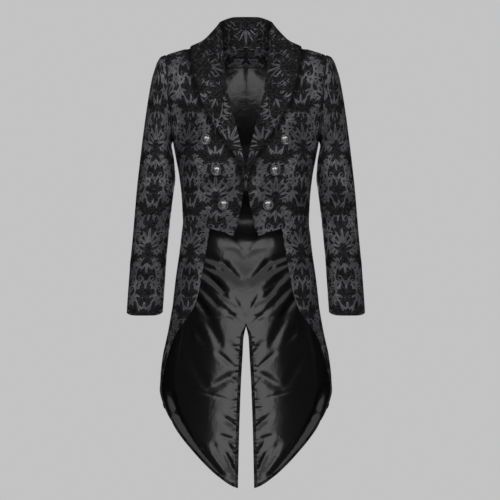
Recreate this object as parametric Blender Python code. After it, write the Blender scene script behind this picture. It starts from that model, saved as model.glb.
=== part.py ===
"""A hollow damask redingote, cut away in front into two tails, in its worn form with no wearer.

Sizes are in millimetres and become metres where a mesh is made. X is to the viewer's right, the
front faces -Y, and the origin is at the neck point, where a wearer's shoulders carry the coat.
"""

import math

import bmesh
import bpy
import numpy as np

MM = 0.001
WALL = 2.0
THIN = 1.0
SEAM = 0.3
ROUND = 2.3

# Torso sections below the armholes: height, half width, depth in front, depth behind.
TORSO = np.array([
    (-248, 187.0, 125, 114),
    (-294, 178.5, 124, 108),
    (-335, 170.7, 121, 101),
    (-397, 163.8, 111, 92),
    (-443, 161.7, 105, 90),
    (-489, 165.1, 104, 96),
    (-550, 171.1, 108, 110),
    (-612, 179.3, 112, 124),
    (-673, 188.9, 115, 133),
    (-735, 199.3, 117, 138),
    (-796, 210.8, 118, 141),
    (-858, 218.8, 118, 143),
    (-950, 224.0, 118, 144),
    (-1170, 228.0, 118, 146),
])
CHEST = -248.0
WAIST = -472.0

# The armhole is a rounded loop in a slanting plane, and the shoulder is a straight slope.
ARM_TOP_X, ARM_BOTTOM_X = 205.0, 187.0
ARM_TOP_Z = -26.0
ARM_DEPTH = 58.0
ARM_ROUND = 2.4
SHOULDER_PEAK = 34.0
NECK_WIDTH = 80.0
NECK_SHARE = 0.46
NECK_ROW, FACING_ROW = 6, 8
SHOULDER_FALL = {"front": 2.0, "back": 3.0}

# Inner edge of the front, from the neck down the roll line to the closure and the point: height, half gap.
FRONT_EDGE = np.array([
    (11, 80), (-5, 68), (-24, 59), (-80, 54), (-137, 46), (-190, 33), (-247, 18.5), (-294, 8.3),
    (-318, 0.15), (-375, 0.15), (-382, 6.8), (-398, 8.4), (-437, 16.1), (-469, 22.9), (-491, 32.3),
])
# Hem of the front: half width, height.
FRONT_HEM = np.array([(30, -491), (41, -487), (50, -482), (69, -477), (90, WAIST), (300, WAIST)])
# Free edge of skirt and tail: angle round from the centre front in degrees, height.
HEM = np.array([
    (30.6, -472), (33.3, -534), (35.5, -580), (37.4, -625), (39.5, -655), (43.2, -678), (48.2, -697),
    (56.9, -723), (63.5, -750), (67.3, -777), (70.0, -806), (74.5, -840), (82, -866), (90, -884),
    (99.3, -903), (108.8, -929), (118.1, -958), (126.6, -991), (135.8, -1024), (145.3, -1058), (154.2, -1091),
    (163.6, -1124), (175, -1155), (180, -1160),
])
# Centre back vent: height, half gap.
VENT = np.array([(-728, 0.15), (-758, 6.6), (-806, 9.3), (-870, 13), (-933, 15.6), (-997, 17.8), (-1160, 21.5)])

# Sleeve sections: outer x, outer z, inner x, inner z, half depth, forward reach.
SLEEVE = np.array([
    (205.3, -26, 187.3, -248, 58, 0),
    (217, -31, 189.8, -255, 60, 0),
    (226, -44, 190.2, -262, 62, 0),
    (233, -63, 188.8, -270, 64, 0),
    (240, -88, 186.8, -279, 66, 1),
    (248.5, -134, 184.2, -292, 68, 2),
    (257.5, -195, 182.4, -308, 69, 3),
    (266, -262, 181.0, -326, 69, 5),
    (272.6, -320, 180.3, -344, 68, 8),
    (277.5, -366, 184.0, -374, 66, 11),
    (282.5, -427, 190.7, -430, 62, 15),
    (287.5, -489, 196.9, -489, 58, 19),
    (293, -550, 202.5, -550, 54, 23),
    (298, -612, 206.3, -612, 50, 26),
    (302, -673, 210.7, -673, 46.5, 28),
    (302.7, -690, 211.5, -690, 46, 29),
])

# Collar sections from the centre back round to the front: x, y and z of the seam, of the fold, of
# the place where the fall lands and of its outer edge.
COLLAR = [
    (0, 82.4, 8, 0, 76, 83, 0, 92, 30, 0, 101, -12),
    (30, 78, 3.5, 28, 71, 82, 38, 87, 30, 44, 98, -13),
    (55, 63, 5, 52, 56, 74, 77, 74, 22, 90, 84, -17),
    (72, 36, 10, 68, 32, 62, 106, 44, 14, 126, 50, -11),
    (76, 6, 11, 70, 6, 52, 118, 6, 7, 141, 4, -3.5),
    (69, -22, 6, 63, -26, 30, 110, -34, 6, 142, -30, -8),
]
# Front parts of collar and lapel: height, roll line, fold rise, landing, outer edge.
ROLL = np.array([
    (-20, 60.5, 15, 98, 141),
    (-40, 57.5, 12, 92, 138.5),
    (-80, 54, 9, 78, 134),
    (-115, 49.5, 7, 70, 125),
    (-137, 46, 5, 64, 118.5),
    (-178, 36.5, 5, 54, 100.7),
    (-207, 29, 5, 46, 84.5),
    (-236, 21.5, 5, 37, 64.7),
    (-274, 12.5, 5, 24, 39.2),
    (-300, 7, 5, 15, 22),
    (-320, 2.2, 4.6, 8, 12.4),
    (-346, 2.0, 4.0, 4.6, 7.4),
])
GORGE = -115.0
LAPEL_END = -346.0

# Deep folds of the satin lining, on the right: x and z of both ends, width, depth.
LINING_FOLDS = np.array([
    (105, -540, 60, -556, 13, 5), (60, -556, 18, -601, 14, 6), (110, -582, 58, -625, 13, 5),
    (119, -619, 70, -672, 14, 5), (91, -625, 28, -665, 13, 4), (128, -656, 70, -771, 18, 6),
    (138, -723, 115, -761, 14, 4), (42, -771, 24, -800, 12, 4), (95, -890, 17, -843, 16, 5),
    (61, -965, 34, -989, 13, 4), (65, -1026, 38, -1074, 13, 4), (85, -1039, 55, -1097, 14, 4),
])

BUTTONS = [("button_upper", 98.5, -250.0), ("button_middle", 73.0, -327.0), ("button_lower", 55.5, -412.0)]
# Half section of a button: radius, height.
BUTTON_SECTION = [(0, 7.6), (4.5, 7.1), (8.2, 5.6), (10.4, 3.5), (11.6, 3.9), (13.2, 3.4), (13.6, 2.0), (12.6, 0.0), (0, 0.0)]

SATIN_EDGE = 12.0
LABEL_SIZE = (46.0, 12.0)
LABEL_HEIGHT = -12.0


def through(x, table, column=1):
    """A smooth curve through the table's rows, that never swings past them."""
    rows = table[np.argsort(table[:, 0])]
    xs, ys = rows[:, 0], rows[:, column]
    step, rise = np.diff(xs), np.diff(ys)
    slope = rise / step
    tangent = np.zeros_like(ys)
    same_way = slope[:-1] * slope[1:] > 0
    mean = 2 * slope[:-1] * slope[1:] / np.where(same_way, slope[:-1] + slope[1:], 1)
    tangent[1:-1] = np.where(same_way, mean, 0)
    tangent[0], tangent[-1] = slope[0], slope[-1]
    x = np.clip(x, xs[0], xs[-1])
    i = np.clip(np.searchsorted(xs, x) - 1, 0, len(step) - 1)
    t = (x - xs[i]) / step[i]
    blend = t * t * (3 - 2 * t)
    return (ys[i] + rise[i] * blend
            + step[i] * (tangent[i] * t * (1 - t) ** 2 - tangent[i + 1] * t * t * (1 - t)))


def power(base, exponent):
    return np.maximum(base, 0) ** exponent


def torso(angle, z):
    """A point of the torso at this angle round from the centre front, in degrees, and this height."""
    turn = np.radians(angle)
    depth = np.where(angle < 90, -through(z, TORSO, 2), through(z, TORSO, 3))
    x = through(z, TORSO, 1) * power(np.sin(turn), 2 / ROUND)
    y = depth * power(np.abs(np.cos(turn)), 2 / ROUND)
    return np.stack([x, y, z + 0 * x], -1)


def angle_at(x, z):
    """The angle, in degrees and under 90, where the torso is this wide."""
    return np.degrees(np.arcsin(np.minimum(x / through(z, TORSO, 1), 1) ** (ROUND / 2)))


def armhole(v):
    """x, half depth and z of the armhole, from its top at 0 to its bottom at 1."""
    turn = np.pi * v
    middle, half = (ARM_TOP_Z + CHEST) / 2, (ARM_TOP_Z - CHEST) / 2
    z = middle + half * np.sign(np.cos(turn)) * np.abs(np.cos(turn)) ** (2 / ARM_ROUND)
    x = ARM_BOTTOM_X + (ARM_TOP_X - ARM_BOTTOM_X) * (z - CHEST) / (ARM_TOP_Z - CHEST)
    return x, ARM_DEPTH * power(np.sin(turn), 2 / ARM_ROUND), z


def yoke(share, v, side):
    """The shoulder part: share goes from the centre to the armhole, v from the shoulder seam down."""
    v = np.maximum(v, 1e-4)
    end_x, end_depth, end_z = armhole(v)
    deepest = TORSO[0, 2 if side == "front" else 3]
    depth = deepest * np.sin(v * np.pi / 2) ** 0.8
    width = power(1 - (end_depth / depth) ** ROUND, 1 / ROUND)
    y = depth * power(1 - (share * width) ** ROUND, 1 / ROUND)
    centre = SHOULDER_PEAK + (CHEST - SHOULDER_PEAK) * v ** SHOULDER_FALL[side]
    z = centre + (end_z - centre) * share ** (1 + 0.5 * v)
    return np.stack([share * end_x, -y if side == "front" else y, z + 0 * y], -1)


def side_seam(z):
    """Angle of the seam between back and side, which moves back towards the hem."""
    return 90 + 32 * np.clip((CHEST - z) / 725, 0, 1)


def skin_y(x, z, side="front"):
    """Depth of the coat's outer face at one x and height."""
    if z <= CHEST:
        near = angle_at(x, z)
        return float(torso(near if side == "front" else 180 - near, np.float64(z))[1])
    v = np.linspace(0, 1, 200)
    line = yoke(np.minimum(x / armhole(v)[0], 1), v, side)
    return float(np.interp(-z, -line[:, 2], line[:, 1]))


def upper_rows(v_rows, columns, side, inner_x):
    """Rows of the shoulder part, from its inner edge to the armhole."""
    rows = []
    for v in v_rows:
        share = 0.3
        for _ in range(30):
            point = yoke(share, v, side)
            share = 0.5 * share + 0.5 * inner_x(v, point[2]) / armhole(v)[0]
        start = np.degrees(np.arcsin(min(share, 1) ** (ROUND / 2)))
        spread = np.sin(np.radians(np.linspace(start, 90, columns))) ** (2 / ROUND)
        rows.append(yoke(spread, v, side))
    return rows


def lower_rows(f_rows, columns, angles, bottom):
    """Rows from the chest down; angles gives both edges at a height, bottom the lowest height."""
    u = np.linspace(0, 1, columns)
    rows = []
    for f in f_rows:
        z = np.full(columns, CHEST)
        for _ in range(60):
            start, end = angles(z)
            point = torso(start + (end - start) * u, z)
            goal = CHEST + f * (bottom(point, start + (end - start) * u) - CHEST)
            z = 0.6 * z + 0.4 * goal
        rows.append(point)
    return rows


def front_grid(rows_above=11, rows_below=14, columns=13):
    upper = upper_rows(np.linspace(0, 1, rows_above), columns, "front",
                       lambda v, z: through(z, FRONT_EDGE))
    lower = lower_rows(np.linspace(0, 1, rows_below)[1:], columns,
                       lambda z: (angle_at(through(z, FRONT_EDGE), z), side_seam(z)),
                       lambda point, angle: through(point[:, 0], FRONT_HEM))
    return np.array(upper + lower)


def back_inner_x(v, z):
    if v < NECK_SHARE:
        return 0.15 + NECK_WIDTH * math.sqrt(1 - (v / NECK_SHARE) ** 2)
    return 0.15


def back_grid(rows_above=13, rows_below=19, columns=12):
    """The back, from the shoulder and neck to the tail."""
    v_rows = np.linspace(0, 1, rows_above)
    v_rows[NECK_ROW] = NECK_SHARE
    upper = upper_rows(v_rows, columns, "back", back_inner_x)
    lower = lower_rows(np.linspace(0, 1, rows_below)[1:], columns,
                       lambda z: (180 - angle_at(through(z, VENT), z), side_seam(z)),
                       lambda point, angle: through(angle, HEM))
    return np.array(upper + lower)


def seam_foot():
    z = -970.0
    for _ in range(40):
        z = float(0.5 * z + 0.5 * through(side_seam(z), HEM))
    return z


def skirt_grid(rows=18, columns=11):
    """The skirt, from its cut-away edge round the side to the back."""
    last = 109.0
    edge = HEM[HEM[:, 0] < last]
    steps = np.hypot(np.diff(edge[:, 0]) * 3.2, np.diff(edge[:, 1]))
    along = np.column_stack([np.concatenate([[0], np.cumsum(steps)]), edge])
    f = np.linspace(0, 1, rows)
    start = through(f * along[-1, 0], along, 1)
    start_z = through(f * along[-1, 0], along, 2)
    end_z = WAIST + (seam_foot() - WAIST) * f
    u = np.linspace(0, 1, columns)[None, :]
    z = start_z[:, None] * (1 - u) + end_z[:, None] * u
    angle = start[:, None] * (1 - u) + side_seam(end_z)[:, None] * u
    return torso(angle, z)


def sleeve_grid(rings=17, columns=21):
    """Rings of the sleeve, each in the plane of its outer and inner points."""
    t = np.linspace(0, len(SLEEVE) - 1, rings)
    table = np.column_stack([np.arange(len(SLEEVE)), SLEEVE])
    outer_x, outer_z, inner_x, inner_z, depth, reach = (through(t, table, c)[:, None] for c in range(1, 7))
    turn = np.linspace(0, 2 * np.pi, columns, endpoint=False)[None, :]
    shape = 2 / ARM_ROUND
    along = np.sign(np.cos(turn)) * np.abs(np.cos(turn)) ** shape
    across = np.sign(np.sin(turn)) * np.abs(np.sin(turn)) ** shape
    x = (outer_x + inner_x) / 2 + (outer_x - inner_x) / 2 * along
    z = (outer_z + inner_z) / 2 + (outer_z - inner_z) / 2 * along
    lift = np.clip((t[:, None] - (len(SLEEVE) - 2)), 0, 1) * 7 * np.abs(along) ** 6
    return np.stack([x, depth * across - reach + 0 * x, z + lift], -1)


def folded_row(seam, fold, landing, edge, out, samples):
    """One section of collar or lapel: up the stand, over the fold and down the fall."""
    seam, fold, landing, edge, out = (np.array(p, float) for p in (seam, fold, landing, edge, out))
    down = np.array([0, 0, -1.0]) if abs(fold[2] - seam[2]) > 15 else -(fold - seam) / np.linalg.norm(fold - seam)
    stops = np.array([seam, fold + 4 * down - 3.2 * out, fold, fold + 4 * down + 3.6 * out, landing, edge])
    lengths = np.concatenate([[0], np.cumsum(np.linalg.norm(np.diff(stops, axis=0), axis=1))])
    dense = np.concatenate([[0, 0.55], [1, 2, 3], np.linspace(3, 5, samples - 4)[1:]])
    at = np.interp(dense, np.arange(6), lengths)
    return np.stack([through(at, np.column_stack([lengths, stops[:, k]])) for k in range(3)], -1)


def roll_row(height, samples):
    """A section of collar or lapel where it lies on the front."""
    roll, rise, landing, edge = (float(through(height, ROLL, c)) for c in (1, 2, 3, 4))
    fold_y = skin_y(roll, height) - rise
    inside = max(roll - 2.7, 0.6)
    seam = (inside, fold_y + rise - 1.0, height)
    fold = (inside, fold_y, height)
    land = (landing, skin_y(landing, height) - 5.5, height)
    tip = (edge, skin_y(edge, height) - 3.4, height)
    middle = (roll, fold_y - 1.2, height)
    stops = np.array([seam, fold, middle, land, tip])
    lengths = np.concatenate([[0], np.cumsum(np.linalg.norm(np.diff(stops, axis=0), axis=1))])
    at = np.interp(np.concatenate([[0, 0.6, 1, 2], np.linspace(2, 4, samples - 3)[1:]]), np.arange(5), lengths)
    return np.stack([through(at, np.column_stack([lengths, stops[:, k]])) for k in range(3)], -1)


def collar_grid(samples=13):
    """Half of the collar, from the centre back to the gorge seam."""
    rows = []
    for row in COLLAR:
        seam, fold, landing, edge = (row[i:i + 3] for i in (0, 3, 6, 9))
        out = np.array([landing[0] - fold[0], landing[1] - fold[1], 0.0])
        rows.append(folded_row(seam, fold, landing, edge, out / np.linalg.norm(out), samples))
    rows += [roll_row(z, samples) for z in (-30, -58, -86, GORGE + SEAM / 2)]
    rows = np.array(rows)
    t = np.linspace(0, len(rows) - 1, 16)
    return np.stack([
        np.stack([through(t, np.column_stack([np.arange(len(rows)), rows[:, j, k]])) for k in range(3)], -1)
        for j in range(samples)], 1)


def lapel_grid(samples=11, rows=15):
    heights = np.linspace(GORGE - SEAM / 2, LAPEL_END, rows)
    return np.array([roll_row(z, samples) for z in heights])


def unit(vectors):
    return vectors / np.maximum(np.linalg.norm(vectors, axis=-1, keepdims=True), 1e-9)


def normals(grid, wrap=False):
    """Normals of a grid, pointing away from the torso's axis or from a tube's own."""
    if wrap:
        across = np.roll(grid, -1, 1) - np.roll(grid, 1, 1)
        centre = grid.mean(1, keepdims=True)
    else:
        across = np.gradient(grid, axis=1)
        centre = grid * (0, 0, 1) - (0, 0, 60)
    found = np.cross(np.gradient(grid, axis=0), across)
    found[..., 0] *= np.abs(grid[..., 0]) > 0.5
    found = unit(found)
    return found if (found * (grid - centre)).sum() > 0 else -found


def shortened(line, start, end):
    """A line of points drawn in along itself by these lengths, its spacing kept."""
    along = np.concatenate([[0], np.cumsum(np.linalg.norm(np.diff(line, axis=0), axis=1))])
    kept = start + along * (1 - (start + end) / along[-1])
    return np.stack([np.interp(kept, along, line[:, k]) for k in range(3)], -1)


def trimmed(grid, top=0.0, bottom=0.0, inner=0.0, outer=0.0):
    """The grid with its edges drawn in along the cloth; inner and outer can be a length for each row."""
    inner, outer = np.broadcast_to(inner, len(grid)), np.broadcast_to(outer, len(grid))
    rows = np.array([shortened(row, start, end) for row, start, end in zip(grid, inner, outer)])
    return np.stack([shortened(rows[:, c], top, bottom) for c in range(grid.shape[1])], 1)


def fold_height(grid):
    """How far the lining's folds stand in from its plain surface."""
    x, z = np.abs(grid[..., 0]), grid[..., 2]
    height = np.zeros_like(x)
    for x0, z0, x1, z1, width, depth in LINING_FOLDS:
        along = np.clip(((x - x0) * (x1 - x0) + (z - z0) * (z1 - z0)) / ((x1 - x0) ** 2 + (z1 - z0) ** 2), 0, 1)
        away = np.hypot(x - x0 - along * (x1 - x0), z - z0 - along * (z1 - z0))
        height += depth * np.exp(-(away / width) ** 2)
    return height * (grid[..., 1] > 30)


def material(name, colour, roughness, metallic=0.0):
    linear = [(c / 12.92 if c <= 0.04045 else ((c + 0.055) / 1.055) ** 2.4)
              for c in (int(colour[i:i + 2], 16) / 255 for i in (0, 2, 4))]
    made = bpy.data.materials.new(name)
    made.use_nodes = True
    shader = made.node_tree.nodes["Principled BSDF"]
    shader.inputs["Base Color"].default_value = (*linear, 1)
    shader.inputs["Roughness"].default_value = roughness
    shader.inputs["Metallic"].default_value = metallic
    return made


def add_solid(name, outer, inner, made, wrap=False, mirrored=False):
    """One closed wall between two grids of points."""
    rows, columns = outer.shape[:2]
    points = np.concatenate([outer.reshape(-1, 3), inner.reshape(-1, 3)]) * MM
    if mirrored:
        points = points * (-1, 1, 1)
    shift = rows * columns
    spans = columns if wrap else columns - 1
    faces = []
    for r in range(rows - 1):
        for c in range(spans):
            a, b = r * columns + c, r * columns + (c + 1) % columns
            for f in ((a, b, b + columns), (a, b + columns, a + columns)):
                faces += [f, tuple(i + shift for i in reversed(f))]
    for row in (0, rows - 1):
        for c in range(spans):
            a, b = row * columns + c, row * columns + (c + 1) % columns
            faces.append((a, b, b + shift, a + shift) if row else (b, a, a + shift, b + shift))
    if not wrap:
        for column in (0, columns - 1):
            for r in range(rows - 1):
                a, b = r * columns + column, (r + 1) * columns + column
                faces.append((b, a, a + shift, b + shift) if column else (a, b, b + shift, a + shift))
    mesh = bpy.data.meshes.new(name)
    mesh.from_pydata([tuple(p) for p in points], [], faces)
    shape = bmesh.new()
    shape.from_mesh(mesh)
    bmesh.ops.recalc_face_normals(shape, faces=shape.faces)
    shape.to_mesh(mesh)
    shape.free()
    mesh.materials.append(made)
    thing = bpy.data.objects.new(name, mesh)
    bpy.context.scene.collection.objects.link(thing)
    return thing


def both_sides(name, grid, offset, thickness, made, wrap=False, raised=None):
    """A wall on each side of the coat, its outer face this far out from the grid."""
    out = normals(grid, wrap)
    lift = np.zeros(grid.shape[:2]) if raised is None else raised
    outer = grid + out * (offset - lift)[..., None]
    inner = grid + out * (offset - thickness - lift)[..., None]
    for side, mirrored in (("right", False), ("left", True)):
        add_solid(f"{name}_{side}", outer, inner, made, wrap, mirrored)


def add_panels(damask):
    half = SEAM / 2
    both_sides("front", trimmed(front_grid(), 0.45, half, 0, 0.4), 0.0, WALL, damask)
    both_sides("skirt", trimmed(skirt_grid(), half, 0, 0, 0.6), 0.0, WALL, damask)
    both_sides("back", trimmed(back_grid(), half, 0, 0, 0.3), 0.0, WALL, damask)
    both_sides("sleeve", sleeve_grid(), 0.0, WALL, damask, wrap=True)


def add_linings(satin):
    below_facing = back_grid()[FACING_ROW:]
    set_back = SATIN_EDGE * np.clip((-716 - below_facing[:, 0, 2]) / 30, 0, 1)
    from_armhole = 1.5 + 34.0 * np.clip((below_facing[:, -1, 2] - CHEST + 90) / 90, 0, 1)
    back = trimmed(below_facing, 0.5, SATIN_EDGE, set_back + 0.1, from_armhole)
    both_sides("back_lining", back, -WALL - 0.7, THIN, satin, raised=fold_height(back))
    skirt = trimmed(skirt_grid(), 6, 4, SATIN_EDGE, 1.5)
    both_sides("skirt_lining", skirt, -WALL - 0.7, THIN, satin, raised=fold_height(skirt))


def clear_of_coat(grid, gap):
    """The fall's points kept this far out from the coat that they lie on."""
    grid = grid.copy()
    for point in grid.reshape(-1, 3):
        side, outward = ("front", -1) if point[1] < 0 else ("back", 1)
        least = skin_y(abs(point[0]), point[2], side) + outward * gap
        point[1] = outward * max(outward * point[1], outward * least)
    return grid


def add_collar(damask):
    half = collar_grid()
    half[:, 4:] = clear_of_coat(half[:, 4:], 4.8)
    grid = np.concatenate([half[:0:-1] * (-1, 1, 1), half])
    out = unit(np.cross(np.gradient(grid, axis=0), np.gradient(grid, axis=1)))
    middle = len(half) - 1
    if out[middle, -3, 1] < 0:
        out = -out
    add_solid("collar", grid, grid - out * WALL, damask)


def add_lapels(damask):
    grid = lapel_grid()
    out = unit(np.cross(np.gradient(grid, axis=0), np.gradient(grid, axis=1)))
    if out[5, -3, 1] > 0:
        out = -out
    for side, mirrored in (("right", False), ("left", True)):
        add_solid(f"lapel_{side}", grid, grid - out * (WALL - 0.2), damask, mirrored=mirrored)


def facing_grid():
    return trimmed(back_grid()[NECK_ROW:FACING_ROW + 1, :8], 4, 0.5)


def add_facing(damask):
    both_sides("neck_facing", facing_grid(), -WALL - 0.5, 1.2, damask)


def on_grid(grid, x, z):
    """The point of a grid at this x and height."""
    line = np.array([[np.interp(abs(x), row[:, 0], row[:, k]) for k in (1, 2)] for row in grid])
    return x, np.interp(-z, -line[:, 1], line[:, 0]), z


def add_label(tape):
    half_x, half_z = LABEL_SIZE[0] / 2, LABEL_SIZE[1] / 2
    facing = facing_grid()
    grid = np.array([[on_grid(facing, x, z) for x in np.linspace(-half_x, half_x, 7)]
                     for z in (LABEL_HEIGHT + half_z, LABEL_HEIGHT - half_z)])
    out = normals(grid)
    add_solid("label", grid - out * (WALL + 2.1), grid - out * (WALL + 2.7), tape)


def add_button(name, x, z, silver):
    """A domed button, its back face SEAM off the front."""
    outline = bmesh.new()
    points = [outline.verts.new((r * MM, 0, h * MM)) for r, h in BUTTON_SECTION]
    edges = [outline.edges.new(pair) for pair in zip(points, points[1:])]
    bmesh.ops.spin(outline, geom=points + edges, cent=(0, 0, 0), axis=(0, 0, 1), angle=2 * math.pi, steps=12)
    bmesh.ops.remove_doubles(outline, verts=outline.verts, dist=1e-5)
    bmesh.ops.recalc_face_normals(outline, faces=outline.faces)
    mesh = bpy.data.meshes.new(name)
    outline.to_mesh(mesh)
    outline.free()
    mesh.materials.append(silver)
    thing = bpy.data.objects.new(name, mesh)
    step = 8.0
    y = skin_y(abs(x), z)
    side_slope = (skin_y(abs(x) + step, z) - skin_y(abs(x) - step, z)) / (2 * step) * math.copysign(1, x)
    rise_slope = (skin_y(abs(x), z + step) - skin_y(abs(x), z - step)) / (2 * step)
    facing = np.array([side_slope, -1, rise_slope]) / math.sqrt(1 + side_slope ** 2 + rise_slope ** 2)
    thing.rotation_euler = (math.acos(facing[2]), 0, math.atan2(facing[1], facing[0]) + math.pi / 2)
    thing.location = ((np.array([x, y, z]) + SEAM * facing) * MM).tolist()
    bpy.context.scene.collection.objects.link(thing)


def main():
    for thing in list(bpy.data.objects):
        bpy.data.objects.remove(thing)
    damask = material("black damask brocade", "232326", 0.75)
    satin = material("black satin lining", "141416", 0.3)
    tape = material("black woven tape", "1b1b1d", 0.8)
    silver = material("antique silver", "8b8b8d", 0.35, 1.0)
    add_panels(damask)
    add_linings(satin)
    add_collar(damask)
    add_lapels(damask)
    add_facing(damask)
    add_label(tape)
    for name, x, z in BUTTONS:
        add_button(f"{name}_right", x, z, silver)
        add_button(f"{name}_left", -x, z, silver)


main()
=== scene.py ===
"""The looks of the damask redingote: brocade shells, satin lining, label and silver buttons.

Lengths are millimetres until a mesh is made. X is to the viewer's right, the front faces -Y and
the origin is at the neck point, as in the frame.
"""

import math

import bpy
import numpy as np
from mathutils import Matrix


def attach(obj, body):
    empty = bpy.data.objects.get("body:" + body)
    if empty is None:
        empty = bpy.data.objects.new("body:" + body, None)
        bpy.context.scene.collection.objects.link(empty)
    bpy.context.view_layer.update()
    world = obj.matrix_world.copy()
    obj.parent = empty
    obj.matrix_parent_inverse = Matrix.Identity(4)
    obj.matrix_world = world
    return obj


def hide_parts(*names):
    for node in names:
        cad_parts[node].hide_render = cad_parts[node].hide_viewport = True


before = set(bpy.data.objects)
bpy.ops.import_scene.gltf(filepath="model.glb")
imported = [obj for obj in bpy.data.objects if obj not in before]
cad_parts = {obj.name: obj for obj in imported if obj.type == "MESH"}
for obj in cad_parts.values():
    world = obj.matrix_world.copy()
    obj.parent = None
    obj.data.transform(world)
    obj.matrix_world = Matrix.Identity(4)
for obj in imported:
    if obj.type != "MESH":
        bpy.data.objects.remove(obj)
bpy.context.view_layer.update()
for startup in ("Cube", "Light", "Camera"):
    if startup in bpy.data.objects:
        bpy.data.objects.remove(bpy.data.objects[startup])

MM = 0.001
SIDES = ("right", "left")
# Thickness of the brocade and of the satin, and the gap that a seam leaves.
WALL, THIN, SEAM = 2.0, 1.0, 0.3
# Thickness of the lapels, the neck facing and the label.
LAPEL_WALL, FACING_WALL, LABEL_WALL = 1.8, 1.2, 0.6
# How far the satin, the facing and the label lie behind the brocade.
LINING_GAP, FACING_GAP, LABEL_GAP = 0.7, 0.5, 2.1
# How far the lining is set back from a free edge, and how far down the facing reaches.
SATIN_EDGE = 9.0
FACING_FOOT = -48.0
# Spacing of the points on the brocade and on the satin.
STEP = 3.15
SATIN_STEP = 1.2 * STEP
# How full the torso's sections are: 2 would be an ellipse.
ROUND = 2.3

# Torso sections below the armholes: height, half width, depth in front, depth behind.
TORSO = np.array([
    (-248, 187, 125, 114), (-294, 178.5, 124, 108), (-335, 170.7, 121, 101), (-397, 163.8, 111, 92),
    (-443, 161.7, 105, 90), (-489, 165.1, 104, 96), (-550, 171.1, 108, 110), (-612, 179.3, 112, 124),
    (-673, 188.9, 115, 133), (-735, 199.3, 117, 138), (-796, 210.8, 118, 141), (-858, 218.8, 118, 143),
    (-950, 224, 118, 144), (-1170, 228, 118, 146),
])
# Heights of the armhole's foot and of the waist seam.
CHEST, WAIST = -248.0, -472.0

# The armhole is a rounded loop in a slanting plane, and the shoulder is a straight slope.
ARM_TOP_X, ARM_BOTTOM_X = 205.0, 187.0
ARM_TOP_Z = -26.0
ARM_DEPTH = 58.0
ARM_ROUND = 2.4
SHOULDER_PEAK = 34.0
SHOULDER_FALL = {"front": 2.0, "back": 3.0}
# Half the neck's width, and how deep it is cut into the back, as a share of the way to the chest.
NECK_WIDTH, NECK_SHARE = 80.0, 0.46

# Inner edge of the front, down the roll line to the closure and the point: height, half gap.
FRONT_EDGE = np.array([
    (11, 80), (-5, 68), (-24, 59), (-80, 54), (-137, 46), (-190, 33), (-247, 18.5), (-294, 8.3),
    (-318, 0.15), (-375, 0.15), (-382, 6.8), (-398, 8.4), (-437, 16.1), (-469, 22.9), (-491, 32.3),
])
# Hem of the front: half width, height.
FRONT_HEM = np.array([(30, -491), (41, -487), (50, -482), (69, -477), (90, WAIST), (300, WAIST)])
# Angle, round from the centre front, where the hems of skirt and back meet.
SKIRT_END = 109.0
# Free edge of skirt and tail: angle in degrees, height.
HEM = np.array([
    (30.6, -472), (33.3, -534), (35.5, -580), (37.4, -625), (39.5, -655), (43.2, -678), (48.2, -697),
    (56.9, -723), (63.5, -750), (67.3, -777), (70, -806), (74.5, -840), (82, -866), (90, -884),
    (99.3, -903), (108.8, -929), (118.1, -958), (126.6, -991), (135.8, -1024), (145.3, -1058),
    (154.2, -1091), (163.6, -1124), (175, -1155), (180, -1160),
])
# Centre back vent: height, half gap.
VENT = np.array([
    (-728, 0.15), (-758, 6.6), (-806, 9.3), (-870, 13), (-933, 15.6), (-997, 17.8), (-1160, 21.5),
])

# Sleeve sections: outer x, outer z, inner x, inner z, half depth, forward reach.
SLEEVE = np.array([
    (205.3, -26, 187.3, -248, 58, 0), (217, -31, 189.8, -255, 60, 0), (226, -44, 190.2, -262, 62, 0),
    (233, -63, 188.8, -270, 64, 0), (240, -88, 186.8, -279, 66, 1), (248.5, -134, 184.2, -292, 68, 2),
    (257.5, -195, 182.4, -308, 69, 3), (266, -262, 181, -326, 69, 5), (272.6, -320, 180.3, -344, 68, 8),
    (277.5, -366, 184, -374, 66, 11), (282.5, -427, 190.7, -430, 62, 15),
    (287.5, -489, 196.9, -489, 58, 19), (293, -550, 202.5, -550, 54, 23),
    (298, -612, 206.3, -612, 50, 26), (302, -673, 210.7, -673, 46.5, 28),
    (302.7, -690, 211.5, -690, 46, 29),
])

# Collar sections from the centre back round to the front: x, y and z of the seam, of the fold, of
# the place where the fall lands and of its outer edge.
COLLAR = [
    (0, 82.4, 8, 0, 76, 83, 0, 92, 30, 0, 101, -12), (30, 78, 3.5, 28, 71, 82, 38, 87, 30, 44, 98, -13),
    (55, 63, 5, 52, 56, 74, 77, 74, 22, 90, 84, -17), (72, 36, 10, 68, 32, 62, 106, 44, 14, 126, 50, -11),
    (76, 6, 11, 70, 6, 52, 118, 6, 7, 141, 4, -3.5), (69, -22, 6, 63, -26, 30, 110, -34, 6, 142, -30, -8),
]
# Front parts of collar and lapel: height, roll line, fold rise, landing, outer edge.
ROLL = np.array([
    (-20, 60.5, 15, 98, 141), (-40, 57.5, 12, 92, 138.5), (-80, 54, 9, 78, 134), (-115, 49.5, 7, 70, 125),
    (-137, 46, 5, 64, 118.5), (-178, 36.5, 5, 54, 100.7), (-207, 29, 5, 46, 84.5),
    (-236, 21.5, 5, 37, 64.7), (-274, 12.5, 5, 24, 39.2), (-300, 7, 5, 15, 22), (-320, 2.2, 4.6, 8, 12.4),
    (-346, 2, 4, 4.6, 7.4),
])
# Heights of the seam between collar and lapel, and of the lapel's foot.
GORGE, LAPEL_END = -115.0, -346.0
# How far the fold, the landing and the edge of the lapel stand off the coat, and half the fold's width.
FOLD_RISE, LANDING_RISE, EDGE_RISE, FOLD_HALF = 1.2, 7.0, 6.2, 2.7

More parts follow.
